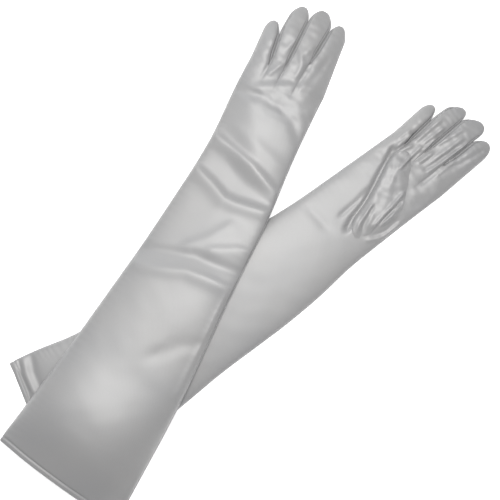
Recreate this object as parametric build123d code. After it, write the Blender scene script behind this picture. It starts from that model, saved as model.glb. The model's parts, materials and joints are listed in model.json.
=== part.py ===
from build123d import *
import math
import os

# A pair of empty opera gloves lying flat and crossed, in millimetres, +Z up, floor at z = 0.
# The right-hand glove lies palm up. The left-hand glove lies across it, back of the hand up.
# Every piece is drawn in its glove's own plan: u across (index finger on +u), v from the arm
# opening towards the fingertips. A sheet is the same plan mesh between two heights.

# ---- driving dimensions ----
CLOTH = 0.6            # thickness of one panel of satin
SEAM_GAP = 0.1         # air between two pieces that are sewn together
FINGER_LINE = 503.0    # distance from the arm opening to the roots of the fingers
KNUCKLE_LINE = 440.0   # the hand's roundness changes to that of the fingers from here on
FINGER_GAP = 2.4       # room between two fingers for the legs of a fourchette
FOURCHETTE_DEPTH = 4.5 # how far a fourchette holds the two panels apart
FINGER_CROWN = 2.4     # extra roundness of a finger over its fourchettes
HAND_CROWN = 8.0       # roundness of the hand
HEM_DEPTH = 5.0        # depth of the folded hem
HEM_THICK = 1.2
CORNER_ROOM = 1.5      # the hem's inner face stops this many thicknesses short of its folded edges
THREAD = 0.6           # width and height of a line of stitches
HEM_STITCH = 0.8       # width of the row of stitches round the hem
SEAM_LIFT = 0.3        # height of a side or thumb seam's stitches over what the glove lies on
LEAN = 12.5            # each glove lies this many degrees from the +Y axis
LAP_CLEARANCE = 1.8    # air between the lower glove and the one laid on it
LAP_SLOPE = 28.0       # width over which the upper glove falls to the floor beside the lower
LAP_SHOULDER = 3       # how squarely the upper glove bends over the lower one's sides
THUMB_CROWN = 6.0
THUMB_HALF = 16.0      # half of a thumb's width
THUMB_AIR = 1.5        # air between the right thumb and the palm beneath it
THUMB_LIFT = 7.6       # room under the left palm for its own thumb
THUMB_REACH = 26.0     # the left palm is level this far round its thumb, then falls away as far again
FINGER_FALL = 0.6      # beyond the thumb's tip the fingers fall to the floor this much more gently
HINGE_U = 37.0         # the thumbs fold about a line at this place across the hand

# Each side of the arm and hand: (distance from the opening, distance from the centre line).
LEFT_GLOVE = {
    "lean": LEAN,
    "crossing": 137.0,
    "little_side": [(0, 77), (60, 74), (150, 61.5), (270, 44), (370, 38.5), (410, 38),
                    (465, 45.5), (503, 47)],
    "index_side": [(0, 76), (95, 73), (150, 70), (265, 59.5), (362, 53.5), (420, 45),
                   (457, 41), (503, 38)],
    "roots": [-27.0, -11.0, 9.0],
    "tips": [(-46, 547, 7.0), (-26, 576, 7.8), (-6, 583, 8.2), (18, 579, 8.6)],
    "corner_advance": [(-77, 10.0), (0, 0.0), (77, -10.0)],
    "crowns": [(0, 9), (90, 15), (200, 12), (400, 9), (503, HAND_CROWN)],
}
RIGHT_GLOVE = {
    "lean": -LEAN,
    "crossing": 111.0,
    "little_side": [(0, 78), (51, 71), (96, 62), (200, 52), (300, 45), (375, 40.6),
                    (461, 38), (503, 40)],
    "index_side": [(0, 77), (149, 63), (198, 56), (286, 54), (333, 51.5), (379, 47.5),
                   (446, 45.5), (503, 43)],
    "roots": [-26.0, -6.0, 17.0],
    "tips": [(-42, 551, 7.0), (-22, 577, 7.8), (3, 583, 8.2), (26, 575, 8.6)],
    "corner_advance": [(-77, 18.0), (0, 0.0), (77, 0.0)],
    "crowns": [(0, 9), (60, 9), (250, 9), (330, 12), (400, 9), (503, HAND_CROWN)],
}
ADVANCE_FADE = 90.0    # the skew of the arm opening has died out this far in

ARM_ROWS = [6.1, 40, 75, 110, 145, 180, 215, 250, 285, 320, 355, 390, 415, 440, 465, 485, FINGER_LINE]
FINGER_ROWS = [0.0, 0.3, 0.6, 0.8, 0.92, 1.0]
CELLS = 4              # cells across one finger
THUMB_ROWS = [0.0, 0.25, 0.4, 0.55, 0.7, 0.85, 0.95, 1.0]
THUMB_RISE = 0.35      # share of the thumb's length over which it swells from its flat root
THUMB_SPREAD = 0.5     # share of the thumb's length over which it swings out from its root line
THUMB_SEAM_GAP = 0.4   # air between the thumb's edge and its stitches
HINGE_GAP = 0.5        # the thumb's root ends this far short of its fold line
FINGER_ROUND = 0.8     # share of a finger's length beyond which its outline is rounded
THUMB_ROUND = 0.7
FINGER_TAPER = 0.6     # share of a finger's length beyond which its roundness falls away
THUMB_TAPER = 0.5
BLUNT_TIP = 0.08       # square of the half-width left at the very end of a fingertip
THUMB_ROOT = [(HINGE_U - HINGE_GAP, 395.0), (HINGE_U - HINGE_GAP, 445.0)]
THUMB_TIP = (-19.0, 502.0)
THUMB_HOLE_ROWS = (390, 440)    # the palm is open between these distances from the arm opening
THUMB_HOLE_CELLS = (14, 17)     # and between these lines of the plan mesh
FOURCHETTES = ["fourchette_ring_little", "fourchette_middle_ring", "fourchette_index_middle"]


# ---- plain arithmetic ----
def mix(a, b, t):
    return a + (b - a) * t


def smooth(t):
    t = min(1.0, max(0.0, t))
    return t * t * (3 - 2 * t)


def along(stations, x):
    """Value at x on the line through the stations."""
    if x <= stations[0][0]:
        return stations[0][1]
    for (x0, y0), (x1, y1) in zip(stations, stations[1:]):
        if x <= x1:
            return mix(y0, y1, (x - x0) / (x1 - x0))
    return stations[-1][1]


def arch(t):
    """Height of a pressed tube across its width, 0 at both edges and 1 in the middle."""
    return math.sqrt(max(0.0, 4 * t * (1 - t)))


# ---- from a glove's plan to the pair's frame ----
def to_pair(glove, u, v):
    turn = math.radians(glove["lean"])
    ahead = v - glove["crossing"]
    return (u * math.cos(turn) - ahead * math.sin(turn), u * math.sin(turn) + ahead * math.cos(turn))


def to_glove(glove, x, y):
    turn = math.radians(glove["lean"])
    ahead = y * math.cos(turn) - x * math.sin(turn)
    return (x * math.cos(turn) + y * math.sin(turn), ahead + glove["crossing"])


def skewed(glove, u, v):
    """Move a plan point with the slant of the arm opening."""
    return (u, v + along(glove["corner_advance"], u) * (1 - smooth(v / ADVANCE_FADE)))


# ---- solids with flat faces ----
def solid_of(triangles):
    faces = [Face(Wire.make_polygon([Vector(*p) for p in t], close=True)) for t in triangles]
    return Solid(Shell(faces))


def quad(a, b, c, d):
    return [(a, b, c), (a, c, d)]


def quad_back(a, b, c, d):
    """The same two triangles as quad, seen from behind, so both faces of a sheet fold alike."""
    return [(a, c, b), (a, d, c)]


def sheet(glove, cells, low, high):
    """Solid between two heights over a set of four-cornered plan cells."""
    points = {p for cell in cells for p in cell}
    under = {p: (*to_pair(glove, *p), low(*p)) for p in points}
    over = {p: (*to_pair(glove, *p), high(*p)) for p in points}
    sides = {}
    triangles = []
    for cell in cells:
        triangles += quad(*[over[p] for p in cell])
        triangles += quad_back(*[under[p] for p in cell])
        for a, b in zip(cell, cell[1:] + cell[:1]):
            if not sides.pop((b, a), None):
                sides[(a, b)] = True
    for a, b in sides:
        triangles += quad(under[a], under[b], over[b], over[a])
    return solid_of(triangles)


def strip(glove, left, right, low, high):
    """Sheet between two plan lines that run side by side, left of travel and right of travel."""
    pairs = list(zip(left, right))
    cells = [(b[0], a[0], a[1], b[1]) for a, b in zip(pairs, pairs[1:])]
    return sheet(glove, cells, low, high)


def ring(glove, sections):
    """Closed tube wall through sections, each a list of (outer point, inner point) in glove space."""
    def place(p):
        return (*to_pair(glove, p[0], p[1]), p[2])

    rings = [[(place(o), place(i)) for o, i in section] for section in sections]
    count = len(rings[0])
    triangles = []
    for near, far in zip(rings, rings[1:]):
        for k in range(count):
            n = (k + 1) % count
            triangles += quad(near[k][0], near[n][0], far[n][0], far[k][0])
            triangles += quad_back(near[k][1], near[n][1], far[n][1], far[k][1])
    for section, flip in ((rings[0], True), (rings[-1], False)):
        for k in range(count):
            n = (k + 1) % count
            corners = (section[k][0], section[n][0], section[n][1], section[k][1])
            triangles += quad(*(reversed(corners) if flip else corners))
    return solid_of(triangles)


# ---- the plan of the arm and hand ----
def root_lines(glove):
    """Plan limits of the four fingers at their roots, from the little finger to the index."""
    little = along(glove["little_side"], FINGER_LINE)
    walls = [-little, *glove["roots"], along(glove["index_side"], FINGER_LINE)]
    spans = []
    for k in range(4):
        start = walls[k] + (FINGER_GAP / 2 if k else 0)
        end = walls[k + 1] - (FINGER_GAP / 2 if k < 3 else 0)
        spans.append((start, end))
    return spans


def columns(glove):
    """Fractions of the hand's width at which the plan mesh has a line."""
    spans = root_lines(glove)
    lo, hi = spans[0][0], spans[-1][1]
    places = [mix(a, b, k / CELLS) for a, b in spans for k in range(CELLS + 1)]
    return [(p - lo) / (hi - lo) for p in places]


def arm_point(glove, t, v):
    u = mix(-along(glove["little_side"], v), along(glove["index_side"], v), t)
    u, v = skewed(glove, u, v)
    return (round(u, 4), round(v, 4))


def arm_cells(glove, hole=False):
    parts = columns(glove)
    cells = []
    for near, far in zip(ARM_ROWS, ARM_ROWS[1:]):
        for k, (a, b) in enumerate(zip(parts, parts[1:])):
            in_rows = THUMB_HOLE_ROWS[0] <= near and far <= THUMB_HOLE_ROWS[1]
            if hole and in_rows and THUMB_HOLE_CELLS[0] <= k < THUMB_HOLE_CELLS[1]:
                continue
            corners = ((a, near), (b, near), (b, far), (a, far))
            cells.append(tuple(arm_point(glove, t, v) for t, v in corners))
    return cells


# ---- the plan of a finger ----
def round_end(s, start):
    """Half-width factor of a tongue whose end is rounded beyond start."""
    if s <= start:
        return 1.0
    return math.sqrt(max(BLUNT_TIP, 1 - ((s - start) / (1 - start)) ** 2))


def finger_point(glove, k, s, t):
    a, b = root_lines(glove)[k]
    tip_u, tip_v, tip_half = glove["tips"][k]
    half = mix((b - a) / 2, tip_half, smooth(s)) * round_end(s, FINGER_ROUND)
    u = mix((a + b) / 2, tip_u, s) + half * (2 * t - 1)
    return (round(u, 4), round(mix(FINGER_LINE, tip_v, s), 4))


def finger_cells(glove, k):
    cells = []
    for near, far in zip(FINGER_ROWS, FINGER_ROWS[1:]):
        for c in range(CELLS):
            a, b = c / CELLS, (c + 1) / CELLS
            corners = ((a, near), (b, near), (b, far), (a, far))
            cells.append(tuple(finger_point(glove, k, s, t) for t, s in corners))
    return cells


def panel_cells(glove, hole=False):
    cells = arm_cells(glove, hole)
    for k in range(4):
        cells += finger_cells(glove, k)
    return cells


# ---- heights ----
def hand_height(glove, u, v):
    left, right = -along(glove["little_side"], v), along(glove["index_side"], v)
    return along(glove["crowns"], v) * arch((u - left) / (right - left))


def finger_at(glove, u, v):
    """Finger number, length fraction and width fraction of a plan point among the fingers."""
    best = None
    for k in range(4):
        a, b = root_lines(glove)[k]
        tip_u, tip_v, tip_half = glove["tips"][k]
        s = min(1.0, max(0.0, (v - FINGER_LINE) / (tip_v - FINGER_LINE)))
        half = mix((b - a) / 2, tip_half, smooth(s)) * round_end(s, FINGER_ROUND)
        t = (u - mix((a + b) / 2, tip_u, s)) / (2 * half) + 0.5
        off = abs(t - 0.5) * half
        if best is None or off < best[0]:
            best = (off, k, s, min(1.0, max(0.0, t)))
    return best[1:]


def edge_depth(s):
    """How far the two panels stand apart at a fourchette, nothing at the fingertip."""
    return FOURCHETTE_DEPTH * (1 - s ** 4)


def finger_height(glove, u, v):
    k, s, t = finger_at(glove, u, v)
    depth = edge_depth(s)
    left = 0.0 if k == 0 else depth
    right = 0.0 if k == 3 else depth
    crown = FINGER_CROWN + (depth / 2 if k in (0, 3) else 0)
    return mix(left, right, t) + crown * arch(t) * round_end(s, FINGER_TAPER)


def inside_height(glove, u, v):
    """Clear height between the two panels at a plan point."""
    if v >= FINGER_LINE:
        return finger_height(glove, u, v)
    into = smooth((v - KNUCKLE_LINE) / (FINGER_LINE - KNUCKLE_LINE))
    return mix(hand_height(glove, u, v), finger_height(glove, u, FINGER_LINE), into)


def over_lower_glove(u, v):
    """Height at which the left glove lies across the right one."""
    across, on = to_glove(RIGHT_GLOVE, *to_pair(LEFT_GLOVE, u, v))
    half = (along(RIGHT_GLOVE["little_side"], on) + along(RIGHT_GLOVE["index_side"], on)) / 2 + LAP_SLOPE
    top_line = along(RIGHT_GLOVE["crowns"], on) + CLOTH + HEM_THICK + SEAM_GAP + LAP_CLEARANCE
    before = smooth((on + 2 * LAP_SLOPE) / LAP_SLOPE)
    return top_line * max(0.0, 1 - abs(across / half) ** LAP_SHOULDER) * before


def over_own_thumb(u, v):
    """Height at which the left palm lies over its own thumb, folded beneath it."""
    root = (HINGE_U, sum(p[1] for p in THUMB_ROOT) / 2)
    reach = (THUMB_TIP[0] - root[0], THUMB_TIP[1] - root[1])
    f = ((u - root[0]) * reach[0] + (v - root[1]) * reach[1]) / (reach[0] ** 2 + reach[1] ** 2)
    f = min(1.0, max(0.0, f))
    ahead = v - root[1] - f * reach[1]
    away = math.hypot(u - root[0] - f * reach[0], ahead * (FINGER_FALL if v > THUMB_TIP[1] else 1))
    return THUMB_LIFT * (1 - smooth((away - THUMB_REACH) / THUMB_REACH))


def drape(glove, u, v):
    """Height of what a glove lies on. The right glove lies flat on the floor."""
    if glove is RIGHT_GLOVE:
        return 0.0
    return max(over_lower_glove(u, v), over_own_thumb(u, v))


def top(glove, u, v):
    """Underside of the upper panel."""
    return drape(glove, u, v) + CLOTH + SEAM_GAP + inside_height(glove, u, v)


# ---- the pieces of a glove ----
def lower_panel(glove, hole):
    return sheet(glove, panel_cells(glove, hole), lambda u, v: drape(glove, u, v),
                 lambda u, v: drape(glove, u, v) + CLOTH)


def upper_panel(glove, hole):
    return sheet(glove, panel_cells(glove, hole), lambda u, v: top(glove, u, v),
                 lambda u, v: top(glove, u, v) + CLOTH)


def opening_section(glove, v, thick):
    """Outer and inner corners of the cloth round the arm at v, over the top and back beneath."""
    parts = columns(glove)
    span = along(glove["little_side"], v) + along(glove["index_side"], v)
    inset = CORNER_ROOM * thick / span

    def corner(t, margin, lift, base):
        height = base(glove, across(t), v) + lift
        return (*skewed(glove, across(min(1 - margin, max(margin, t))), v), height)

    def across(t):
        return mix(-along(glove["little_side"], v), along(glove["index_side"], v), t)

    over = [(corner(t, 0.0, thick, top), corner(t, inset, 0.0, top)) for t in parts]
    under = [(corner(t, 0.0, 0.0, drape), corner(t, inset, thick / 2, drape)) for t in reversed(parts)]
    return over + under


def hem_band(glove):
    return ring(glove, [opening_section(glove, v, HEM_THICK) for v in (0.0, HEM_DEPTH)])


def hem_stitching(glove):
    start = HEM_DEPTH + SEAM_GAP
    return ring(glove, [opening_section(glove, v, CLOTH) for v in (start, start + HEM_STITCH)])


def finger_side(glove, k, t, outwards):
    """Plan line up one side of a finger as far as its rounded tip, moved outwards."""
    sign = 1 if t else -1
    points = [finger_point(glove, k, s, t) for s in FINGER_ROWS[:-2]]
    return [(u + sign * outwards, v) for u, v in points]


def fourchette_lines(glove, k, outwards, width):
    """Two plan lines down the side of finger k and up the facing side of the next."""
    down_near = finger_side(glove, k, 1, outwards)[::-1]
    down_far = finger_side(glove, k, 1, outwards + width)[::-1]
    up_near = finger_side(glove, k + 1, 0, outwards)
    up_far = finger_side(glove, k + 1, 0, outwards + width)
    for line, end, v in ((down_near, -1, outwards), (up_near, 0, outwards),
                         (down_far, -1, outwards + width), (up_far, 0, outwards + width)):
        line[end] = (line[end][0], FINGER_LINE + v)
    return down_near + up_near, down_far + up_far


def fourchette_height(glove, u, v):
    return edge_depth(finger_at(glove, u, v)[1])


def fourchette(glove, k):
    near, far = fourchette_lines(glove, k, SEAM_GAP, CLOTH)
    return strip(glove, near, far, lambda u, v: drape(glove, u, v),
                 lambda u, v: drape(glove, u, v) + CLOTH + fourchette_height(glove, u, v))


def finger_seams(glove):
    """Lines of stitches along the upper edges of the three fourchettes."""
    def low(u, v):
        return drape(glove, u, v) + CLOTH + SEAM_GAP + fourchette_height(glove, u, v)

    lines = []
    for k in range(len(FOURCHETTES)):
        near, far = fourchette_lines(glove, k, SEAM_GAP, CLOTH)
        lines.append(strip(glove, near, far, low, lambda u, v: low(u, v) + THREAD))
    return Compound(lines)


def side_seam(glove, side):
    """Line of stitches outside one edge of the arm and hand, at the height of the seam."""
    t = 0.0 if side < 0 else 1.0
    edge = [arm_point(glove, t, v) for v in ARM_ROWS]
    near = [(u + side * SEAM_GAP, v) for u, v in edge]
    far = [(u + side * (SEAM_GAP + THREAD), v) for u, v in edge]
    left, right = (far, near) if side < 0 else (near, far)
    return strip(glove, left, right, lambda u, v: drape(glove, u, v) + SEAM_LIFT,
                 lambda u, v: drape(glove, u, v) + SEAM_LIFT + THREAD)


# ---- the thumb ----
def thumb_point(s, t):
    """Plan of the folded thumb: s from its root to its tip, t from the palm side to the edge."""
    (u0, v0), (u1, v1) = THUMB_ROOT
    root = (mix(u0, u1, t), mix(v0, v1, t))
    reach = (THUMB_TIP[0] - (u0 + u1) / 2, THUMB_TIP[1] - (v0 + v1) / 2)
    size = math.hypot(*reach)
    ahead = (reach[0] / size, reach[1] / size)
    side = (ahead[1], -ahead[0])
    half = THUMB_HALF * round_end(s, THUMB_ROUND)
    middle = ((u0 + u1) / 2 + reach[0] * s, (v0 + v1) / 2 + reach[1] * s)
    out = (middle[0] + side[0] * half * (2 * t - 1), middle[1] + side[1] * half * (2 * t - 1))
    into = smooth(s / THUMB_SPREAD)
    u = min(mix(root[0], out[0], into), HINGE_U - HINGE_GAP)
    return (round(u, 4), round(mix(root[1], out[1], into), 4))


def thumb_cells(rows):
    cells = []
    for near, far in zip(rows, rows[1:]):
        for c in range(CELLS):
            a, b = c / CELLS, (c + 1) / CELLS
            corners = ((a, near), (b, near), (b, far), (a, far))
            cells.append(tuple(thumb_point(s, t) for t, s in corners))
    return cells


def thumb_places():
    """Length and width fraction of every corner of the thumb's plan mesh."""
    places = {}
    for s in THUMB_ROWS:
        for c in range(CELLS + 1):
            places[thumb_point(s, c / CELLS)] = (s, c / CELLS)
    return places


def thumb_base(glove, u, v):
    """Underside of the folded thumb: on the right palm, or on the floor under the left palm."""
    if glove is RIGHT_GLOVE:
        return top(glove, u, v) + CLOTH + THUMB_AIR
    return SEAM_GAP


def thumb_half(glove, upper, inner):
    """Half of a thumb. The inner half starts beyond the thumb hole, so the thumb opens into the palm."""
    places = thumb_places()
    rows = THUMB_ROWS[1:] if inner else THUMB_ROWS
    crown = THUMB_CROWN if glove is RIGHT_GLOVE else THUMB_LIFT - 3 * CLOTH - 4 * SEAM_GAP

    def roundness(u, v):
        s, t = places[(u, v)]
        return crown * arch(t) * round_end(s, THUMB_TAPER) * smooth(s / THUMB_RISE)

    def low(u, v):
        lift = CLOTH + SEAM_GAP + roundness(u, v) if upper else 0.0
        return thumb_base(glove, u, v) + lift

    return sheet(glove, thumb_cells(rows), low, lambda u, v: low(u, v) + CLOTH)


def thumb_seam(glove):
    """Line of stitches round the edge of the thumb, from its root over the tip and back."""
    rows = THUMB_ROWS[1:]
    outline = [thumb_point(s, 0.0) for s in rows] + [thumb_point(s, 1.0) for s in reversed(rows)]
    middle = [sum(values) / len(outline) for values in zip(*outline)]

    def pushed(p, distance):
        off = (p[0] - middle[0], p[1] - middle[1])
        grow = distance / math.hypot(*off)
        return (min(p[0] + off[0] * grow, HINGE_U - HINGE_GAP / 2), p[1] + off[1] * grow)

    near = [pushed(p, THUMB_SEAM_GAP) for p in outline]
    far = [pushed(p, THUMB_SEAM_GAP + THREAD) for p in outline]
    return strip(glove, far, near, lambda u, v: thumb_base(glove, u, v) + SEAM_LIFT,
                 lambda u, v: thumb_base(glove, u, v) + SEAM_LIFT + THREAD)


# ---- the pair ----
def glove_pieces(glove, palm_up):
    pieces = {
        "palm_panel": upper_panel(glove, True) if palm_up else lower_panel(glove, True),
        "back_panel": lower_panel(glove, False) if palm_up else upper_panel(glove, False),
        "hem_band": hem_band(glove),
        "hem_stitching": hem_stitching(glove),
        "little_side_seam": side_seam(glove, -1),
        "index_side_seam": side_seam(glove, 1),
        "finger_seams": finger_seams(glove),
        "thumb_outer": thumb_half(glove, upper=palm_up, inner=False),
        "thumb_inner": thumb_half(glove, upper=not palm_up, inner=True),
        "thumb_seam": thumb_seam(glove),
    }
    for k, name in enumerate(FOURCHETTES):
        pieces[name] = fourchette(glove, k)
    return pieces


os.makedirs("parts", exist_ok=True)
for hand, glove, palm_up in (("left", LEFT_GLOVE, False), ("right", RIGHT_GLOVE, True)):
    for name, piece in glove_pieces(glove, palm_up).items():
        export_step(piece, f"parts/{hand}_{name}.step")
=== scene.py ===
"""A pair of silver-grey satin opera gloves, lying crossed on a pale table.

Each glove is sewn from thin curved sheets laid out on its own plan, in millimetres: u runs across
the glove towards the index finger and v runs from the arm opening towards the fingertips. Where a
glove lies, and which way it points, comes from its arm opening in the frame.
"""

import json
import math

import bmesh
import bpy
import numpy as np
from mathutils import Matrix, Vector


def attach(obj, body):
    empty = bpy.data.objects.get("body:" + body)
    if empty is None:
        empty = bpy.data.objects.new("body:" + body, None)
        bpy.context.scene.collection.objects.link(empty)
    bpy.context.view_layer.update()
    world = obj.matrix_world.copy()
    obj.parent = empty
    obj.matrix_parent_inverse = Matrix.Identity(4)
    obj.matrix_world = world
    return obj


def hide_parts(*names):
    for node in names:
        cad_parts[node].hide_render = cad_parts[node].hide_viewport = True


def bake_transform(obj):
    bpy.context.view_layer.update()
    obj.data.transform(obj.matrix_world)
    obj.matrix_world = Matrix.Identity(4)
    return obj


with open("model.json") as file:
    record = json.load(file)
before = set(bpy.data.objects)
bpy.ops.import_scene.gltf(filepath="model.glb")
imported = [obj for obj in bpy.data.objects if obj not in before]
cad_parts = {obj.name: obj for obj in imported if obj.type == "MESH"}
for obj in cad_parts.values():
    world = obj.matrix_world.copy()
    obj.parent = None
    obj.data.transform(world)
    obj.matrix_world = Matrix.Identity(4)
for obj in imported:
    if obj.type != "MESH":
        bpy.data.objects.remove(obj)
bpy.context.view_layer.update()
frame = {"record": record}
MOUNTS = {m["name"]: m for m in frame["record"]["mounts"]}
MM = 0.001

# ---- driving dimensions, in millimetres ----
FINGER_LINE = 503.0     # distance from the arm opening to the roots of the fingers
KNUCKLE_LINE = 481.0    # the grooves between the fingers start here
HAND_LINE = 440.0       # the hand's finer wrinkles start here
FINGER_GAP = 3.6        # room between two fingers' panels, which their fourchettes fill
GAP_OPENING = 16.0      # length over which a gap opens from its crotch
TIP_CAP = 16.0          # length of a fingertip's rounded end
TIP_FALL = 26.0         # length over which a fingertip thins out
TIP_AREA = 0.98         # share of a finger's straight outline that its round tip leaves
FOURCHETTE_DEPTH = 4.5  # how far a fourchette holds the two panels apart
FOURCHETTE_SATIN = 0.25
THREAD_LIFT = 0.05      # height of a line of stitches over its seam
SIDE_THREAD = 0.42      # half-thickness of the side seams' stitches
FINGER_THREAD = 0.26
FINE_THREAD = 0.2       # of the hem's and the thumb's
HEM_PITCH = 3.4         # from one of the hem's stitches to the next
HEM_STITCH = 2.3        # length of each
FINGER_CROWN = 2.6      # roundness of a finger over its fourchettes
SATIN = 0.35            # thickness of one layer
SEAM_RISE = 1.3         # height of the side seams over what the glove lies on
LOWER_REST = 0.1        # height of a lower panel over what the glove lies on
EDGE_ROLL = 5.0         # width over which the lower panel curls up to the seam
HEM_DEPTH = 5.0
# The hem in section: (distance from the opening, distance outwards from the panel).
HEM_PROFILE = [(4.9, -0.10), (4.5, 0.45), (3.4, 0.85), (2.0, 0.90), (0.7, 0.60), (0.0, 0.10),
               (0.1, -0.40), (0.9, -0.60), (3.0, -0.60), (4.6, -0.60), (4.9, -0.45)]
HEM_ROOM = 1.3          # how far the hem's thickness lifts the cloth round the opening
HEM_LIFT_FADE = 25.0    # length over which the cloth sinks again behind the hem
STITCH_GROOVE = 0.9     # how far the hem's stitches draw the cloth in
GROOVE_GAP = 1.3        # from the hem's inner edge to the middle of that groove
GROOVE_WIDTH = 1.2
LAP_CLEARANCE = 2.4     # between the lower glove's panel and the one laid on it
LAP_SLOPE = 28.0        # length over which the upper glove comes down to the table, towards its opening
LAP_BRIDGE = 80.0       # and towards its hand
LAP_SHOULDER = 3        # how squarely it bends over the lower glove's edge, towards its opening
ARM_FLATNESS = 0.62     # below 1, an arm is flatter in the middle and steeper at its seams
THUMB_CROWN = 3.6       # roundness of the folded thumb
THUMB_SEAM_RISE = 0.3   # height of the thumb's seam over what the thumb lies on
THUMB_REST = 0.15       # air between a folded thumb and what it lies on
THUMB_SINK = 1.2        # how far the right thumb goes into the palm at its root
THUMB_BOW = 3.5         # how far the cloth at the thumb's root bows out over the hinge
THUMB_LIFT = 6.8        # height to which the left thumb lifts the palm that lies on it
THUMB_REACH = 22.0      # half-width of the flat top that it makes in that palm
THUMB_FADE = 40.0       # width over which the palm comes down again
FINGER_FALL = 0.6       # past the thumb's tip it comes down this much more gently
HINGE_U = 37.0          # the thumbs fold about a line at this place across the hand
THUMB_ROOT = ((HINGE_U, 395.0), (HINGE_U, 445.0))
THUMB_TIP = (-19.0, 502.0)
# Each edge of the folded thumb: (share of its length, (across, along) the glove's plan).
THUMB_PALM_SIDE = [(0, (33.5, 400)), (0.1, (20, 401)), (0.2, (8, 408)), (0.38, (0.5, 432)),
                   (0.62, (-12, 458)), (0.86, (-24.5, 481)), (1.0, (-28, 492))]
THUMB_FINGER_SIDE = [(0, (33.5, 449)), (0.2, (32, 459)), (0.38, (25, 468)), (0.62, (11, 482)),
                     (0.86, (-8, 500)), (1.0, (-15, 507))]
THUMB_ROUND = 0.8       # share of its length from which the tip is rounded
# The gathers at the thumb's root, given as the folds of a glove are.
THUMB_FOLDS = [
    ([(7, 434), (11, 423), (15, 414), (22, 404), (30, 404)], 1.8, 1.5),
    ([(10, 434), (15, 425), (19, 417), (27, 409)], 1.8, -1.5),
    ([(16, 470), (19, 457), (22, 443), (26, 426)], 1.8, 1.6),
    ([(22, 462), (24, 450), (27, 435), (32, 421)], 1.6, -1.7),
    ([(28, 450), (29, 440), (30, 432)], 1.6, 1.4),
    ([(-1, 452), (9, 458), (18, 470)], 6.0, -0.6),
    ([(-14, 486), (-2, 468)], 2.6, 0.6),
]
THUMB_GATHER_GAIN = 1.3
ADVANCE_FADE = 90.0     # length over which an opening cut at a slant becomes square rows
ROW_STEP = 2.2          # length of the mesh cells along a glove
CELLS = 14              # cells across one finger

# ---- folds and ripples, in millimetres ----
FOLD_ROOM = 4.0         # height of the space inside a glove from which its folds are full
FINGER_FOLD_GAIN = 1.9  # folds on the fingers are sharper by this factor
CREASE_SPREAD = 1.9     # a crease falls away this much more gently on its side towards the opening
# Random ripples: (length, height on the arm, height on the hand, stretch across the glove).
RIPPLES = [(75, 0.16, 0.16, 1.0), (26, 0.055, 0.264, 1.0), (9, 0.0, 0.20, 0.7)]
PUCKER_HEIGHT = 0.30    # of the small gathers along a seam
PUCKER_PITCH = 7.5
PUCKER_REACH = 6.0

# Each side: (distance from the opening, distance from the centre line). Each crown: (distance from
# the opening, height of the space inside). Each tip: (across, along, half-width of the fingertip).
# Each fold: points along it, then its width and its height, below zero for a valley.
# Each dome: its place, its reach across and along the glove, and its height.
LEFT = {
    "name": "left",
    "palm_up": False,
    "little_side": [(0, 77.5), (60, 70.5), (150, 60.5), (270, 49.5), (370, 43.5), (410, 43),
                    (465, 48), (503, 49)],
    "index_side": [(0, 76), (95, 73.5), (150, 71), (265, 60.5), (362, 54.5), (420, 46.5),
                   (457, 43), (503, 40)],
    "roots": [-27.0, -11.0, 9.0],
    "tips": [(-46, 550, 7.6), (-26, 579, 8.2), (-4, 586, 8.6), (19, 581, 9.0)],
    "crotches": [(-36, 546), (-15, 569), (10, 562)],
    "slits": [503.0, 506.0, 528.0],
    "corner_advance": [(-77, 9.0), (-40, 2.8), (0, -2.0), (77, -10.0)],
    "crowns": [(0, 0.5), (15, 8.5), (30, 15), (46, 19.5), (80, 19.5), (125, 14.5), (180, 12),
               (240, 11), (380, 8.5), (460, 9), (503, 8)],
    "creases": [
        ([(-44, 411), (-13, 405), (11, 400), (46, 388)], 5.5, 4.0),
        ([(-44, 370), (-17, 363), (2, 356), (14, 357), (46, 364)], 5.5, 3.8),
        ([(-4, 295), (10, 311), (22, 332)], 6.0, 1.2),
        ([(-46, 248), (-22, 256), (5, 268), (28, 272), (57, 274)], 5.0, 2.4),
        ([(20, 302), (40, 314), (56, 320)], 5.0, 1.8),
        ([(-22, 427), (8, 421), (30, 416)], 8.0, 1.4),
    ],
    "domes": [(-12, 74, 84, 70, 5.0)],
    "folds": [
        ([(-50, 264), (-18, 277), (6, 286), (33, 289), (57, 294)], 7.0, -2.2),
        ([(24, 176), (40, 196), (62, 210)], 8.0, -1.0),
        ([(64, 150), (56, 265)], 2.2, 1.0),
        ([(-40, 467), (5, 471), (26, 463), (38, 452)], 6.0, -1.6),
        ([(-40, 440), (20, 446)], 9.0, 0.5),
        ([(-25, 478), (19, 502)], 5.0, 0.9),
        ([(-24, 486), (4, 504)], 3.6, -0.4),
        ([(-22, 498), (-12, 519)], 2.6, 0.8),
        ([(4, 508), (4, 520), (-3, 530)], 2.6, 0.8),
        ([(-18, 532), (-16, 540)], 3.0, 0.7),
        ([(1, 536), (3, 543)], 3.0, 0.7),
        ([(20, 500), (24, 540)], 3.0, -0.6),
    ],
    "seed": 11,
}
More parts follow.
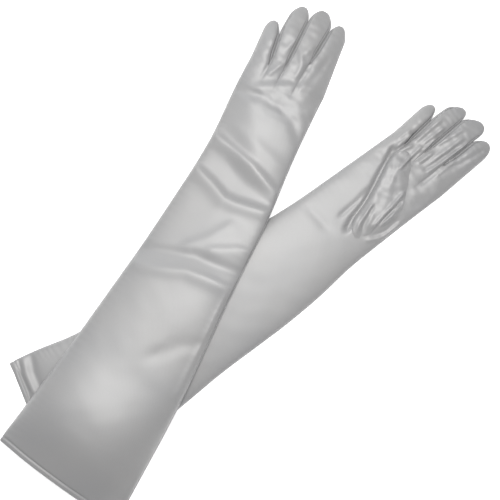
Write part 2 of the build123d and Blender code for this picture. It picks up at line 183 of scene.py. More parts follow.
RIGHT = {
    "name": "right",
    "palm_up": True,
    "little_side": [(0, 78), (51, 71), (96, 62), (200, 52), (300, 46.5), (375, 43), (461, 43.5), (503, 44)],
    "index_side": [(0, 78), (60, 73.5), (149, 66.5), (198, 62), (286, 59.5), (333, 55.5), (379, 48),
                   (446, 44), (503, 41.5)],
    "roots": [-26.0, -6.0, 17.0],
    "tips": [(-42, 554, 7.8), (-20, 579, 8.4), (4, 586, 8.8), (25, 579, 9.2)],
    "crotches": [(-33, 549), (-12, 568), (13, 571)],
    "slits": [503.0, 515.0, 528.0],
    "corner_advance": [(-77, 18.0), (0, 0.0), (77, 0.0)],
    "crowns": [(0, 1), (25, 6), (75, 9), (250, 10.5), (330, 11), (400, 9), (503, 8)],
    "creases": [],
    "domes": [],
    "folds": [
        ([(-24, 380), (-8, 382)], 6.0, -1.0),
        ([(-9, 440), (-6, 426), (-4, 406)], 2.8, -1.2),
        ([(-29, 489), (-18, 466), (-5, 442), (1, 428), (6, 412), (11, 402)], 2.6, -4.4),
        ([(41, 445), (42, 426), (36, 413)], 2.0, 1.5),
        ([(36, 448), (38, 433), (35, 421)], 1.8, -1.2),
        ([(-29, 519), (-26, 496), (-27, 487)], 2.0, -1.2),
        ([(-31, 511), (-29, 493)], 1.8, 1.3),
        ([(-14, 514), (-9, 486)], 1.6, 1.6),
        ([(-11, 508), (-7, 489)], 1.6, -1.2),
        ([(-22, 506), (-24, 495)], 1.6, 1.2),
        ([(-12, 531), (-10, 517)], 1.6, 1.2),
        ([(-17, 545), (-16, 524)], 1.8, 1.2),
        ([(-23, 518), (-26, 548)], 1.6, 1.1),
        ([(-2, 520), (-2, 508)], 1.5, 1.4),
        ([(1, 518), (2, 506)], 1.4, -1.2),
        ([(4, 556), (5, 522)], 1.6, 1.1),
        ([(8, 545), (9, 524), (8, 507)], 1.5, -1.2),
        ([(12, 556), (12, 510)], 1.6, 1.2),
        ([(18, 535), (19, 514)], 1.6, 1.2),
        ([(-4, 562), (-6, 534)], 1.6, 0.9),
        ([(-36, 503), (-36, 515)], 1.6, 0.9),
        ([(27, 566), (24, 532)], 2.2, -0.7),
        ([(-76, 24), (-60, 17), (-40, 13)], 2.2, 1.6),
        ([(-76, 28), (-60, 21), (-40, 17)], 1.8, -1.7),
        ([(-74, 33), (-58, 26), (-38, 22)], 2.6, 1.6),
        ([(-72, 42), (-56, 34), (-36, 30)], 4.0, -1.4),
    ],
    "seed": 23,
}


def place_glove(g):
    """Give a glove's plan its origin and directions in the frame, from its arm opening."""
    opening = MOUNTS[g["name"] + "_arm_opening"]
    away = Vector(opening["axis"]).xy.normalized()
    g["origin"] = np.array(opening["pos_m"][:2]) / MM
    g["ahead"] = np.array((-away.x, -away.y))
    g["across"] = np.array((-away.y, away.x))
    g["body"] = g["name"] + "_glove"
    g["thumb_body"] = g["name"] + "_thumb"


# ---- plain arithmetic on arrays ----
def mix(a, b, t):
    return a + (b - a) * t


def smooth(t):
    t = np.clip(t, 0.0, 1.0)
    return t * t * (3 - 2 * t)


def along(stations, x, reach=16.0):
    """Value at x on the line through the stations, with its corners rounded off."""
    xs, ys = zip(*stations)
    return sum(np.interp(x + d * reach, xs, ys) for d in np.linspace(-1, 1, 9)) / 9


def arch(t):
    """Height of a pressed tube across its width, 0 at both edges and 1 in the middle."""
    return np.sqrt(np.clip(4 * t * (1 - t), 0.0, 1.0))


def waves(u, v, length, seed, stretch=1.0, count=14):
    """Gentle random ripples between about -1 and 1, of about the given wavelength."""
    draw = np.random.default_rng(seed)
    total = 0.0
    for _ in range(count):
        turn = draw.uniform(0, math.tau)
        size = math.tau / (length * draw.uniform(0.7, 1.5))
        travel = u * math.cos(turn) * stretch + v * math.sin(turn)
        total = total + np.sin(travel * size + draw.uniform(0, math.tau))
    return total / math.sqrt(count)


def ridge(u, v, points, width, behind=1.0):
    """1 along a line of points, falling away round it, and behind times as wide on its right."""
    best = np.zeros(np.broadcast(u, v).shape)
    for (u0, v0), (u1, v1) in zip(points, points[1:]):
        du, dv = u1 - u0, v1 - v0
        size = math.hypot(du, dv)
        f = ((u - u0) * du + (v - v0) * dv) / size
        off = ((u - u0) * dv - (v - v0) * du) / size
        past = np.maximum(0, np.maximum(-f, f - size))
        reach = np.where(off > 0, width * behind, width)
        best = np.maximum(best, np.exp(-(off / reach) ** 2 - (past / (2 * width)) ** 2))
    return best


# ---- from a glove's plan to the world ----
def to_world(g, u, v, z):
    place = g["origin"] + np.asarray(u)[..., None] * g["across"] + np.asarray(v)[..., None] * g["ahead"]
    return np.concatenate([place, np.broadcast_to(z, np.shape(u))[..., None]], axis=-1) * MM


def to_plan(g, x, y):
    off = np.stack([x, y], axis=-1) - g["origin"]
    return off @ g["across"], off @ g["ahead"]


# ---- the plan of a glove ----
def edges(g, v):
    return -along(g["little_side"], v), along(g["index_side"], v)


def wall(g, k, v):
    """Plan line between finger k and the next, from their roots to where their tips part."""
    crotch_u, crotch_v = g["crotches"][k]
    return along([(FINGER_LINE, g["roots"][k]), (crotch_v, crotch_u)], v, 4.0)


def opened(g, k, v):
    """Half of the gap between finger k and the next."""
    return FINGER_GAP / 2 * smooth((v - g["slits"][k]) / GAP_OPENING)


def finger_edges(g, k, v):
    left, right = edges(g, np.minimum(v, FINGER_LINE))
    tip_u, tip_v, tip_half = g["tips"][k]
    up = (v - FINGER_LINE) / (tip_v - FINGER_LINE)
    low = mix(left, tip_u - tip_half, up) if k == 0 else wall(g, k - 1, v) + opened(g, k - 1, v)
    high = mix(right, tip_u + tip_half, up) if k == 3 else wall(g, k, v) - opened(g, k, v)
    return low, high


def root_lines(g):
    """The two edges of each finger at its root."""
    return [finger_edges(g, k, FINGER_LINE) for k in range(4)]


def finger_fractions(k):
    """Places of the mesh lines across finger k, closer together where the cloth turns down."""
    f = np.linspace(0, 1, CELLS + 1)
    if k == 0:
        return f ** 1.7
    if k == 3:
        return 1 - (1 - f) ** 1.7
    return mix(f, 0.5 - 0.5 * np.cos(math.pi * f), 0.6)


def columns(g):
    """Places of the mesh lines across the arm, as shares of its width, in line with the fingers'."""
    spans = root_lines(g)
    low, high = spans[0][0], spans[-1][1]
    places = np.concatenate([mix(a, b, finger_fractions(k)) for k, (a, b) in enumerate(spans)])
    return (places - low) / (high - low)


def arm_plan(g, t, v):
    left, right = edges(g, v)
    u = mix(left, right, t)
    skew = along(g["corner_advance"], u, 12.0) * (1 - smooth(v / ADVANCE_FADE))
    return u, v + skew


def finger_plan(g, k, v, f):
    """Plan of finger k: straight sides, then a round tip square to the way the finger leans."""
    low, high = finger_edges(g, k, v)
    tip_u, tip_v, _ = g["tips"][k]
    cap = np.clip((v - tip_v + TIP_CAP) / TIP_CAP, 0, 1)
    root_low, root_high = root_lines(g)[k]
    lean = ((root_low + root_high) / 2 - tip_u) / (tip_v - FINGER_LINE)
    welded_to = max(g["slits"][max(0, k - 1):k + 1]) + 4
    middle = mix((low + high) / 2, tip_u, smooth(cap))
    u = middle + (high - low) / 2 * np.sqrt(1 - cap ** 2) * (2 * f - 1)
    return u, v + (u - middle) * lean * smooth((v - welded_to) / (tip_v - welded_to))


# ---- heights ----
def edge_depth(g, k, v):
    """How far finger k's fourchettes hold its panels apart."""
    up = (v - FINGER_LINE) / (g["tips"][k][1] - FINGER_LINE)
    return FOURCHETTE_DEPTH * (1 - np.clip(up, 0, 1) ** 6)


def finger_inside(g, k, v, f):
    """Height of the space inside finger k: open where it has a fourchette, shut where it has a seam."""
    depth = edge_depth(g, k, v)
    left = 0.0 if k == 0 else depth
    right = 0.0 if k == 3 else depth
    fall = np.clip((v - g["tips"][k][1] + TIP_FALL) / TIP_FALL, 0, 1)
    crown = FINGER_CROWN + (depth / 2 if k in (0, 3) else 0)
    return mix(left, right, f) + crown * arch(f) * np.sqrt(1 - fall ** 2)


def root_profile(g):
    """Clear height across the roots of the fingers, at each column."""
    return np.concatenate([finger_inside(g, k, FINGER_LINE, finger_fractions(k)) for k in range(4)])


def arm_inside(g, t, v):
    """Height of the space inside the arm and hand, which turns into the fingers' at their roots."""
    into = smooth((v - KNUCKLE_LINE) / (FINGER_LINE - KNUCKLE_LINE))
    profile = np.interp(t, columns(g), root_profile(g))
    groove = STITCH_GROOVE * np.exp(-((v - HEM_DEPTH - GROOVE_GAP) / GROOVE_WIDTH) ** 2)
    crown = along(g["crowns"], v) - groove
    return mix(crown * arch(t) ** ARM_FLATNESS, profile, into)


def thumb_away(u, v):
    """Distance from the middle line of a folded thumb, counted short towards the fingers."""
    root_v = (THUMB_ROOT[0][1] + THUMB_ROOT[1][1]) / 2
    reach_u, reach_v = THUMB_TIP[0] - HINGE_U, THUMB_TIP[1] - root_v
    f = np.clip(((u - HINGE_U) * reach_u + (v - root_v) * reach_v) / (reach_u ** 2 + reach_v ** 2), 0, 1)
    ahead = v - root_v - f * reach_v
    return np.hypot(u - HINGE_U - f * reach_u, ahead * np.where(v > THUMB_TIP[1], FINGER_FALL, 1.0))


def drape(g, u, v):
    """Height of what a glove lies on: the table, the lower glove or its own folded thumb."""
    if g is RIGHT:
        return np.zeros(np.broadcast(u, v).shape)
    world = to_world(g, u, v, 0.0) / MM
    across, on = to_plan(RIGHT, world[..., 0], world[..., 1])
    left, right = edges(RIGHT, on)
    crest = along(RIGHT["crowns"], on) + SEAM_RISE + LAP_CLEARANCE
    beside = np.where(across > 0, LAP_SLOPE, LAP_BRIDGE)
    off = np.clip(np.abs(across) / ((right - left) / 2 + beside), 0, 1)
    fall = np.where(across > 0, smooth(1 - off ** LAP_SHOULDER), np.cos(off * math.pi / 2) ** 2)
    lap = crest * fall * smooth((on + 2 * LAP_SLOPE) / LAP_SLOPE)
    over_thumb = THUMB_LIFT * (1 - smooth((thumb_away(u, v) - THUMB_REACH) / THUMB_FADE))
    return (lap ** 4 + over_thumb ** 4) ** 0.25


def hem_lift(from_opening):
    """The thicker hem holds the cloth near the opening up off the table."""
    return HEM_ROOM * (1 - smooth((from_opening - HEM_DEPTH) / HEM_LIFT_FADE))


def curl(edge_distance):
    """How far the lower panel lifts towards a seam."""
    x = 1 - np.clip(edge_distance / EDGE_ROLL, 0, 1)
    return SEAM_RISE * (1 - np.sqrt(np.clip(1 - x * x, 0, 1)))


def wrinkles(g, u, v):
    """Folds, soft waves and fine crinkles of the upper panel."""
    total = 0.0
    gain = mix(1, FINGER_FOLD_GAIN, smooth((v - KNUCKLE_LINE) / 25))
    for points, width, height in g["folds"]:
        total = total + height * ridge(u, v, points, width) * gain
    for points, width, height in g["creases"]:
        total = total + height * ridge(u, v, points, width, CREASE_SPREAD)
    for at_u, at_v, reach_u, reach_v, height in g["domes"]:
        total = total + height * smooth(1.15 - np.hypot((u - at_u) / reach_u, (v - at_v) / reach_v))
    hand = smooth((v - HAND_LINE) / 40)
    for i, (length, on_arm, on_hand, stretch) in enumerate(RIPPLES):
        total = total + mix(on_arm, on_hand, hand) * waves(u, v, length, g["seed"] + i, stretch)
    return total


def seam_pucker(edge_distance, v, seed):
    """Small gathers that run in from a seam."""
    beat = np.sin(v * math.tau / PUCKER_PITCH + 2.2 * waves(v * 0, v, 40, seed))
    return PUCKER_HEIGHT * beat * np.exp(-edge_distance / PUCKER_REACH)


# ---- mesh building ----
def weld(bm, distance=1e-6):
    bmesh.ops.remove_doubles(bm, verts=bm.verts, dist=distance)


def add_grid(bm, points, closed_across=False, flip=False):
    rows, cols = points.shape[:2]
    verts = [[bm.verts.new(points[r, c]) for c in range(cols)] for r in range(rows)]
    last = cols if closed_across else cols - 1
    for r in range(rows - 1):
        for c in range(last):
            n = (c + 1) % cols
            ring = [verts[r][c], verts[r][n], verts[r + 1][n], verts[r + 1][c]]
            bm.faces.new(reversed(ring) if flip else ring)
    return verts


def finish_mesh(bm, name, thickness=0.0):
    """Turns a bmesh into a smooth-shaded object; a thickness makes a closed cloth layer inwards."""
    weld(bm)
    mesh = bpy.data.meshes.new(name)
    bm.to_mesh(mesh)
    bm.free()
    for polygon in mesh.polygons:
        polygon.use_smooth = True
    piece = bpy.data.objects.new(name, mesh)
    bpy.context.scene.collection.objects.link(piece)
    if thickness:
        layer = piece.modifiers.new("layer", "SOLIDIFY")
        layer.thickness = thickness * MM
        layer.offset = -1.0
    return piece


def arm_lines(g):
    near = np.arange(HEM_DEPTH * 0.5, HEM_DEPTH + 6, ROW_STEP / 4)
    v = np.concatenate([near, np.linspace(HEM_DEPTH + 6, FINGER_LINE, int(FINGER_LINE / ROW_STEP))])
    return columns(g)[None, :], v[:, None]


def finger_rows(g, k):
    """Rows up a finger: evenly spaced while it is welded to the next, then closing up to the tip."""
    welded = np.arange(FINGER_LINE, max(g["slits"]) + GAP_OPENING / 2, ROW_STEP)
    length = g["tips"][k][1] - welded[-1]
    x = np.linspace(0, 1, int(length / ROW_STEP * 1.6))[1:]
    return np.concatenate([welded, welded[-1] + length * (1 - (1 - x) ** 1.6)])[:, None]


def outside(g, u, v, inside):
    """Height of the upper panel over the table, where the space inside the glove is that high."""
    return drape(g, u, v) + SEAM_RISE + inside + wrinkles(g, u, v) * np.clip(inside / FOLD_ROOM, 0, 1)


def upper_points(g, u, v, inside, edge_distance, from_opening):
    height = outside(g, u, v, inside) + hem_lift(from_opening)
    calm = smooth(np.abs(v - FINGER_LINE) / 15) * np.clip(inside / 2, 0, 1)
    return to_world(g, u, v, height + seam_pucker(edge_distance, v, g["seed"] + 5) * calm)


def lower_points(g, u, v, edge_distance, from_opening):
    rise = LOWER_REST + curl(edge_distance) * (SEAM_RISE - LOWER_REST) / SEAM_RISE
    return to_world(g, u, v, drape(g, u, v) + hem_lift(from_opening) + rise)


def add_arm(bm, g, upper):
    t, v = arm_lines(g)
    left, right = edges(g, v)
    u, at = arm_plan(g, t, v)
    edge = np.minimum(t, 1 - t) * (right - left)
    if upper:
        add_grid(bm, upper_points(g, u, at, arm_inside(g, t, v), edge, v))
    else:
        add_grid(bm, lower_points(g, u, at, edge, v), flip=True)


def unslit(g, k, v):
    """How far the lower panel runs on flat past the line between finger k and the next."""
    return EDGE_ROLL * (1 - smooth((v - g["slits"][k]) / 9))


def add_finger(bm, g, k, upper):
    v, f = finger_rows(g, k), finger_fractions(k)[None, :]
    low, high = finger_edges(g, k, v)
    u, at = finger_plan(g, k, v, f)
    to_tip = g["tips"][k][1] - v
    if upper:
        edge = np.minimum(np.minimum(f, 1 - f) * (high - low), to_tip)
        add_grid(bm, upper_points(g, u, at, finger_inside(g, k, v, f), edge, v))
        return
    to_left = f * (high - low) + (0 if k == 0 else unslit(g, k - 1, v))
    to_right = (1 - f) * (high - low) + (0 if k == 3 else unslit(g, k, v))
    edge = np.minimum(np.minimum(to_left, to_right), to_tip)
    add_grid(bm, lower_points(g, u, at, edge, v), flip=True)


def panel(g, upper, name):
    """The panel of a glove that faces up, or the one beneath: an arm and four fingers in one piece."""
    bm = bmesh.new()
    add_arm(bm, g, upper)
    for k in range(4):
        add_finger(bm, g, k, upper)
    return finish_mesh(bm, name, SATIN)


def plan_area(g):
    """Flat area of one panel in square metres."""
    v = np.linspace(0, FINGER_LINE, 200)
    left, right = edges(g, v)
    area = float(np.mean(right - left)) * FINGER_LINE
    for (a, b), (_, tip_v, tip_half) in zip(root_lines(g), g["tips"]):
        area += (tip_v - FINGER_LINE) * ((b - a) / 2 + tip_half) * TIP_AREA
    return area * MM * MM


# ---- fourchettes ----
def gap_side(g, k, side, share):
    """Plan line along one side of gap k, from its crotch up to a fingertip, a share of the way into it."""
    finger = k + (side > 0)
    tip_v = g["tips"][finger][1]
    start, end = g["slits"][k] + 0.3, tip_v - 0.4
    v = end - (end - start) * np.linspace(1, 0, 60) ** 1.5
    u, at = finger_plan(g, finger, v, 0.0 if side > 0 else 1.0)
    room = opened(g, k, v) * smooth((tip_v - v) / TIP_CAP)
    return u - side * share * room, at, v


def fourchette_line(g, k, share):
    """Plan line down the side of one finger and up the next, bulging into the gap by a share of it."""
    down_u, down_at, down_v = gap_side(g, k, -1, share)
    up_u, up_at, up_v = gap_side(g, k, 1, share)
    depth = np.concatenate([edge_depth(g, k, down_v)[::-1], edge_depth(g, k + 1, up_v)])
    return np.concatenate([down_u[::-1], up_u]), np.concatenate([down_at[::-1], up_at]), depth


def fourchette(g, k, name):
    """The strip between two fingers: it bulges towards its other leg between the two panels."""
    bm = bmesh.new()
    h = np.linspace(0, 1, 11)[:, None]
    u, v, depth = fourchette_line(g, k, 0.0)
    bulged, _, _ = fourchette_line(g, k, 0.93)
    across = mix(u[None, :], bulged[None, :], np.sin(math.pi * h) ** 0.7)
    ahead = np.broadcast_to(v[None, :], across.shape)
    base = drape(g, u, v)[None, :] + SEAM_RISE * 0.9
    add_grid(bm, to_world(g, across, ahead, base + h * (depth[None, :] + 0.1)))
    return finish_mesh(bm, name, FOURCHETTE_SATIN)


# ---- threads ----
def tube_along(bm, points, radius, pitch=2.4, sides=6):
    """A thin beaded line of stitches along world points in metres."""
    gaps = np.linalg.norm(np.diff(points, axis=0), axis=1)
    walk = np.concatenate([[0], np.cumsum(gaps)])
    steps = max(8, int(walk[-1] / (pitch * MM) * 4))
    at = np.linspace(0, walk[-1], steps)
    line = np.stack([np.interp(at, walk, points[:, c]) for c in range(3)], axis=1)
    ahead = np.gradient(line, axis=0)
    ahead /= np.linalg.norm(ahead, axis=1)[:, None]
    side = np.cross(ahead, (0, 0, 1.0))
    side /= np.linalg.norm(side, axis=1)[:, None]
    up = np.cross(side, ahead)
    bead = radius * MM * (0.68 + 0.32 * np.abs(np.sin(at / MM * math.pi / pitch)))
    bead[0] = bead[-1] = radius * MM * 0.3
    turn = np.arange(sides) * math.tau / sides
    ring = side[:, None] * np.cos(turn)[None, :, None] + up[:, None] * np.sin(turn)[None, :, None]
    verts = add_grid(bm, line[:, None] + ring * bead[:, None, None], closed_across=True)
    bm.faces.new(reversed(verts[0]))
    bm.faces.new(verts[-1])


def outer_side(g, side):
    """World line of a side seam, up the arm and on to the tip of the outer finger."""
    t = 0.0 if side < 0 else 1.0
    k = 0 if side < 0 else 3
    arm = np.linspace(HEM_DEPTH + 0.6, FINGER_LINE, 240)
    finger = np.linspace(FINGER_LINE + 1, g["tips"][k][1], 60)
    plans = (arm_plan(g, t, arm), finger_plan(g, k, finger, t))
    u, v = (np.concatenate(parts) for parts in zip(*plans))
    lift = np.concatenate([hem_lift(arm), np.zeros(finger.size)])
    return to_world(g, u + side * 0.15, v, drape(g, u, v) + lift + SEAM_RISE + THREAD_LIFT)


def side_seam(g, side, name):
    bm = bmesh.new()
    tube_along(bm, outer_side(g, side), SIDE_THREAD)
    return finish_mesh(bm, name)


def finger_seams(g, name):
    """Stitches along the upper edge of each fourchette, on both facing fingers."""
    bm = bmesh.new()
    for k in range(3):
        u, v, depth = fourchette_line(g, k, 0.12)
        points = to_world(g, u, v, drape(g, u, v) + SEAM_RISE + depth + THREAD_LIFT)
        for leg in np.split(points, 2):
            tube_along(bm, leg, FINGER_THREAD, pitch=2.0)
    return finish_mesh(bm, name)


# ---- the hem ----
def opening_loop(g, v):
    """World points round the arm opening, over the top and back beneath, with outward directions."""
    t = columns(g)
    left, right = edges(g, v)
    edge = np.minimum(t, 1 - t) * (right - left)
    u, at = arm_plan(g, t, np.full(t.shape, v))
    top = upper_points(g, u, at, arm_inside(g, t, v), edge, v)
    under = lower_points(g, u, at, edge, v)
    loop = np.concatenate([top, under[::-1][1:-1]])
    tangent = np.roll(loop, -1, axis=0) - np.roll(loop, 1, axis=0)
    away = np.cross(tangent, (*-g["ahead"], 0.0))
    away /= np.linalg.norm(away, axis=1)[:, None]
    return loop, away


def hem_band(g, name):
    """The cloth turned in round the opening: a band with a rolled outer face and a flat inner one."""
    bm = bmesh.new()
    rings = []
    for v, out in HEM_PROFILE:
        loop, away = opening_loop(g, v)
        rings.append(loop + away * out * MM)
    rings.append(rings[0])
    add_grid(bm, np.stack(rings), closed_across=True)
    bmesh.ops.recalc_face_normals(bm, faces=bm.faces)
    return finish_mesh(bm, name)


def stitch_row(g, v, name):
    """A row of separate stitches round the opening."""
    bm = bmesh.new()
    loop, away = opening_loop(g, v)
    loop = np.concatenate([loop, loop[:1]])
    away = np.concatenate([away, away[:1]])
    walk = np.concatenate([[0], np.cumsum(np.linalg.norm(np.diff(loop, axis=0), axis=1))])
    for start in np.arange(0, walk[-1] - HEM_PITCH * MM, HEM_PITCH * MM):
        at = np.linspace(start, start + HEM_STITCH * MM, 5)
        line = np.stack([np.interp(at, walk, loop[:, c]) for c in range(3)], axis=1)
        out = np.stack([np.interp(at, walk, away[:, c]) for c in range(3)], axis=1)
        lift = np.array([-0.1, 0.16, 0.2, 0.16, -0.1])[:, None] * MM
        tube_along(bm, line + out * lift, FINE_THREAD, pitch=HEM_STITCH * 2)
    return finish_mesh(bm, name)


# ---- thumbs ----
def thumb_edge(stations, s):
    """Plan point at length fraction s on one edge of the folded thumb."""
    return tuple(along([(at, place[c]) for at, place in stations], s, 0.05) for c in (0, 1))


def thumb_plan(s, t):
    """Plan of the folded thumb: s from its root to its tip, t from its palm side to its finger side."""
    (u0, v0), (u1, v1) = (thumb_edge(stations, s) for stations in (THUMB_PALM_SIDE, THUMB_FINGER_SIDE))
    cap = np.clip((s - THUMB_ROUND) / (1 - THUMB_ROUND), 0, 1)
    t = 0.5 + (t - 0.5) * np.sqrt(1 - cap ** 2)
    root_bow = THUMB_BOW * 4 * t * (1 - t) * (1 - smooth(s / 0.3))
    return np.minimum(mix(u0, u1, t) + root_bow, HINGE_U), mix(v0, v1, t)


def palm_top(g, u, v):
    """Outside height of the upper panel at any plan point of the arm and hand."""
    left, right = edges(g, v)
    t = np.clip((u - left) / (right - left), 0, 1)
    return outside(g, u, v, arm_inside(g, t, v))


def thumb_profile(s, t):
    """Roundness of the outer half: steep at its palm side, easing out towards its finger side."""
    fall = np.clip((s - 0.6) / 0.4, 0, 1)
    return arch(t) ** (0.8 + 1.2 * t) * np.sqrt(1 - fall ** 2) * smooth(s / 0.25)


def thumb_rest(g, u, v):
    """Height of what the folded thumb lies on."""
    return THUMB_REST + (palm_top(g, u, v) if g is RIGHT else np.zeros(np.shape(u)))


def thumb_seam_rise(t):
    """The thumb's seam stands up at its palm side and lies flush at its finger side."""
    return THUMB_SEAM_RISE * mix(1.0, 0.25, smooth(t))


def root_sink(g, s):
    """A thumb that lies on its palm goes into it at its root."""
    return THUMB_SINK * (1 - smooth(s / 0.14)) if g["palm_up"] else 0.0


def thumb_half(g, upper, name):
    """The half of the folded thumb that faces up, which shows its gathers, or the one beneath."""
    bm = bmesh.new()
    s = (1 - (1 - np.linspace(0, 1, 80)) ** 1.3)[:, None]
    t = (0.5 - 0.5 * np.cos(np.linspace(0, math.pi, 41)))[None, :]
    u, v = thumb_plan(s, t)
    round_up = thumb_profile(s, t)
    if upper:
        gathers = 0.25 * waves(u, v, 14, g["seed"] + 7)
        if g["palm_up"]:
            for points, width, height in THUMB_FOLDS:
                gathers = gathers + height * ridge(u, v, points, width)
        gathers = THUMB_GATHER_GAIN * gathers * np.clip(round_up * 2, 0, 1)
        lift = thumb_seam_rise(t) + THUMB_CROWN * round_up + gathers
    else:
        lift = thumb_seam_rise(t) * (1 - np.clip(round_up * 3, 0, 1))
    lift = lift - root_sink(g, s)
    add_grid(bm, to_world(g, u, v, thumb_rest(g, u, v) + lift), flip=not upper)
    bmesh.ops.recalc_face_normals(bm, faces=bm.faces)
    return finish_mesh(bm, name, SATIN)


def thumb_seam(g, name):
    bm = bmesh.new()
    s = np.concatenate([np.linspace(0.05, 1, 60), np.linspace(1, 0.05, 60)[1:]])
    t = np.concatenate([np.zeros(60), np.ones(59)])
    u, v = thumb_plan(s, t)
    height = thumb_rest(g, u, v) + thumb_seam_rise(t) - root_sink(g, s)
    tube_along(bm, to_world(g, u, v, height), FINE_THREAD)
    return finish_mesh(bm, name)


# ---- materials ----
SILVER = (0.33, 0.332, 0.338)
SATIN_ROUGHNESS = 0.45
FLOAT_SCALE = (2600, 260, 2600)  # the satin's floats are ten times as long as they are wide


def new_material(name):
    material = bpy.data.materials.new(name)
    material.use_nodes = True
    tree = material.node_tree
    return material, tree, tree.nodes["Principled BSDF"]


def add_texture(tree, kind, settings, scale=None):
    """A noise or wave texture in the piece's own coordinates, stretched by a scale for each axis."""
    where = tree.nodes.new("ShaderNodeTexCoord").outputs["Object"]
    if scale:
        stretch = tree.nodes.new("ShaderNodeMapping")
        stretch.inputs["Scale"].default_value = scale
        tree.links.new(where, stretch.inputs["Vector"])
        where = stretch.outputs["Vector"]
    texture = tree.nodes.new(kind)
    for socket, value in settings.items():
        texture.inputs[socket].default_value = value
    tree.links.new(where, texture.inputs["Vector"])
    return texture


def add_ramp(tree, source, dark, light):
    """A colour ramp: each end is (position, colour)."""
    ramp = tree.nodes.new("ShaderNodeValToRGB")
    for element, (position, colour) in zip(ramp.color_ramp.elements, (dark, light)):
        element.position = position
        element.color = (*colour, 1)
    tree.links.new(source, ramp.inputs["Fac"])
    return ramp.outputs["Color"]


def add_bump(tree, source, strength, distance, under=None):
    bump = tree.nodes.new("ShaderNodeBump")
    bump.inputs["Strength"].default_value = strength
    bump.inputs["Distance"].default_value = distance
    tree.links.new(source, bump.inputs["Height"])
    if under:
        tree.links.new(under, bump.inputs["Normal"])
    return bump.outputs["Normal"]


def satin(name, colour, streaks):
    """Satin: long fine floats along the cloth, a low weave, soft cloudy colour and a bright sheen."""
    material, tree, shader = new_material(name)
    floats = add_texture(tree, "ShaderNodeTexNoise", {"Scale": 1.0, "Detail": 2.0}, FLOAT_SCALE)
    cloud = add_texture(tree, "ShaderNodeTexNoise", {"Scale": 14.0, "Detail": 3.0})
    weave = add_texture(tree, "ShaderNodeTexWave", {"Scale": 330.0, "Distortion": 0.6})
    weave.bands_direction = "DIAGONAL"

    dark = tuple(c * 0.965 for c in colour)
    light = (colour[0] * 1.02, colour[1] * 1.01, colour[2] * 0.995)
    clouded = add_ramp(tree, cloud.outputs["Fac"], (0.3, dark), (0.7, light))
    tint = tree.nodes.new("ShaderNodeMix")
    tint.data_type = "RGBA"
    tint.blend_type = "MULTIPLY"
    tint.inputs["Factor"].default_value = streaks
    tree.links.new(clouded, tint.inputs["A"])
    tree.links.new(floats.outputs["Fac"], tint.inputs["B"])
    tree.links.new(tint.outputs["Result"], shader.inputs["Base Color"])

    rough = tree.nodes.new("ShaderNodeMapRange")
    rough.inputs["To Min"].default_value = SATIN_ROUGHNESS - 0.05
    rough.inputs["To Max"].default_value = SATIN_ROUGHNESS + 0.06
    tree.links.new(floats.outputs["Fac"], rough.inputs["Value"])
    tree.links.new(rough.outputs["Result"], shader.inputs["Roughness"])

    low = add_bump(tree, weave.outputs["Fac"], 0.10, 0.0002)
    fine = add_bump(tree, floats.outputs["Fac"], 0.12, 0.0002, low)
    tree.links.new(fine, shader.inputs["Normal"])
    shader.inputs["Sheen Weight"].default_value = 0.25
    shader.inputs["Sheen Roughness"].default_value = 0.35
    shader.inputs["Specular IOR Level"].default_value = 0.9
    return material


def thread_material():
    """Twisted thread, a little lighter than the satin."""
    material, tree, shader = new_material("thread")
    twist = add_texture(tree, "ShaderNodeTexWave", {"Scale": 900.0})
    twist.bands_direction = "DIAGONAL"
    strands = add_ramp(tree, twist.outputs["Fac"], (0.0, (0.36, 0.36, 0.37)), (1.0, (0.46, 0.46, 0.47)))
    tree.links.new(strands, shader.inputs["Base Color"])
    tree.links.new(add_bump(tree, twist.outputs["Fac"], 0.3, 0.0001), shader.inputs["Normal"])
    shader.inputs["Roughness"].default_value = 0.45
    shader.inputs["Sheen Weight"].default_value = 0.3
    return material


MATERIALS = {
    "satin": satin("satin", SILVER, 0.10),
    # the fourchettes' satin is the silver darkened by a tenth: painted shade in the grooves between the
    # fingers
    "fourchette": satin("fourchette_shaded_satin", tuple(c * 0.9 for c in SILVER), 0.10),
    "hem": satin("hem_satin", SILVER, 0.12),
    "thread": thread_material(),
}


# ---- assembling the gloves ----
# Flat sizes in metres and areas in square metres.
FOLD_EASE = 1.06        # cloth in a panel over its plan's area


def dress(piece, slot_name, *nodes):
    """Give a piece its material and hide the CAD nodes it stands for."""
    piece.data.materials.append(MATERIALS[slot_name])
    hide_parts(*nodes)
    return piece


def trimmings(g):
    """The fourchettes, the hem and the stitching of one glove, which go with its upper panel."""
    tag = g["name"]
    pieces = []
    for k, gap in enumerate(("ring_little", "middle_ring", "index_middle")):
        node = f"{tag}_fourchette_{gap}"
        pieces.append(dress(fourchette(g, k, node + "_strip"), "fourchette", node))
    threads = {
        "little_side_seam": side_seam(g, -1, f"{tag}_little_side_stitches"),
        "index_side_seam": side_seam(g, 1, f"{tag}_index_side_stitches"),
        "finger_seams": finger_seams(g, f"{tag}_finger_stitches"),
        "hem_stitching": stitch_row(g, HEM_DEPTH + 0.8, f"{tag}_hem_stitches"),
    }
    pieces += [dress(piece, "thread", f"{tag}_{node}") for node, piece in threads.items()]
    pieces.append(dress(hem_band(g, f"{tag}_hem_fold"), "hem", f"{tag}_hem_band"))
    return pieces


def build_glove(g):
    tag = g["name"]
    upper_node, lower_node = ("palm_panel", "back_panel") if g["palm_up"] else ("back_panel", "palm_panel")
    upper = dress(panel(g, True, f"{tag}_{upper_node}_satin"), "satin", f"{tag}_{upper_node}")
    lower = dress(panel(g, False, f"{tag}_{lower_node}_satin"), "satin", f"{tag}_{lower_node}")
    pieces = trimmings(g)
    for piece in (upper, lower, *pieces):
        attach(piece, g["body"])
    area = plan_area(g) * FOLD_EASE
    build_thumb(g)


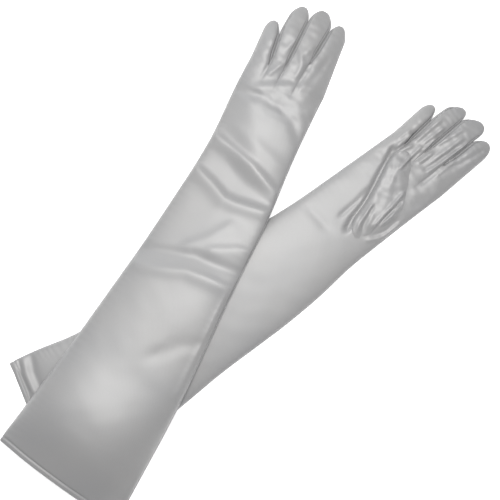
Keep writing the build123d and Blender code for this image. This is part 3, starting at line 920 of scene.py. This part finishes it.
def build_thumb(g):
    tag = g["name"]
    outer = thumb_half(g, g["palm_up"], f"{tag}_thumb_outer_satin")
    inner = thumb_half(g, not g["palm_up"], f"{tag}_thumb_inner_satin")
    seam = thumb_seam(g, f"{tag}_thumb_stitches")
    for piece, slot_name, node in ((outer, "satin", "outer"), (inner, "satin", "inner"),
                                   (seam, "thread", "seam")):
        dress(piece, slot_name, f"{tag}_thumb_{node}")
        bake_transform(piece)


# ---- the table, the light and the camera ----
KEY_POWER = 13.0        # watts
FILL_POWER = 4.0
TABLE_GLOW = 0.5        # light that the backlit table adds to its own whiteness
TABLE_SIZE = 60.0       # metres, so that its edge is out of sight from every side
VIEW_WIDTH = 0.5375     # what the picture spans at the gloves' height
VIEW_HEIGHT = 0.012     # that height over the table
VIEW_CENTRE = Vector((0.0127, 0.1919, 0.0))
VIEW_TURN = math.radians(42.5)  # the picture's up direction is turned this far from +Y
LENS = 85.0
SENSOR = 36.0


def stage_plane():
    bpy.ops.mesh.primitive_plane_add(size=TABLE_SIZE, location=(0, 0, 0))
    table = bpy.context.object
    table.name = "table"
    material, tree, shader = new_material("table_paper")
    grain = tree.nodes.new("ShaderNodeTexNoise")
    grain.inputs["Scale"].default_value = 40.0
    paper = add_ramp(tree, grain.outputs["Fac"], (0.0, (0.90, 0.90, 0.90)), (1.0, (0.93, 0.93, 0.93)))
    tree.links.new(paper, shader.inputs["Base Color"])
    shader.inputs["Roughness"].default_value = 0.9
    shader.inputs["Specular IOR Level"].default_value = 0.1
    shader.inputs["Emission Color"].default_value = (1, 1, 1, 1)
    shader.inputs["Emission Strength"].default_value = TABLE_GLOW
    table.data.materials.append(material)


def area_light(name, offset, size, power, tint):
    """A round light at an offset from the middle of the view, which it faces."""
    data = bpy.data.lights.new(name, "AREA")
    data.shape = "DISK"
    data.size = size
    data.energy = power
    data.color = tint
    light = bpy.data.objects.new(name, data)
    bpy.context.scene.collection.objects.link(light)
    light.location = VIEW_CENTRE + offset
    light.rotation_euler = (-offset).to_track_quat("-Z", "Y").to_euler()


def set_camera():
    data = bpy.data.cameras.new("view")
    data.lens = LENS
    data.sensor_width = SENSOR
    data.clip_end = 20
    camera = bpy.data.objects.new("view", data)
    bpy.context.scene.collection.objects.link(camera)
    camera.location = VIEW_CENTRE + Vector((0, 0, VIEW_WIDTH * LENS / SENSOR + VIEW_HEIGHT))
    camera.rotation_euler = (0, 0, VIEW_TURN)
    bpy.context.scene.camera = camera


def set_sky():
    """A room that is bright near the horizon and dim above."""
    world = bpy.data.worlds.new("studio")
    world.use_nodes = True
    tree = world.node_tree
    height = tree.nodes.new("ShaderNodeSeparateXYZ")
    tree.links.new(tree.nodes.new("ShaderNodeTexCoord").outputs["Generated"], height.inputs["Vector"])
    sky = add_ramp(tree, height.outputs["Z"], (0.0, (0.8, 0.8, 0.8)), (0.2, (0.22, 0.22, 0.23)))
    tree.links.new(sky, tree.nodes["Background"].inputs["Color"])
    bpy.context.scene.world = world
    bpy.context.scene.view_settings.view_transform = "Standard"


def set_lights():
    up = Vector((-math.sin(VIEW_TURN), math.cos(VIEW_TURN), 0))
    right = Vector((math.cos(VIEW_TURN), math.sin(VIEW_TURN), 0))
    key = up * 0.18 - right * 0.04 + Vector((0, 0, 1.1))
    fill = up * 1.2 - right * 0.5 + Vector((0, 0, 0.8))
    area_light("key", key, 0.72, KEY_POWER, (1, 0.99, 0.97))
    area_light("fill", fill, 1.0, FILL_POWER, (0.96, 0.98, 1))


for g in (RIGHT, LEFT):
    place_glove(g)
for g in (RIGHT, LEFT):
    build_glove(g)
stage_plane()
set_camera()
set_lights()
set_sky()
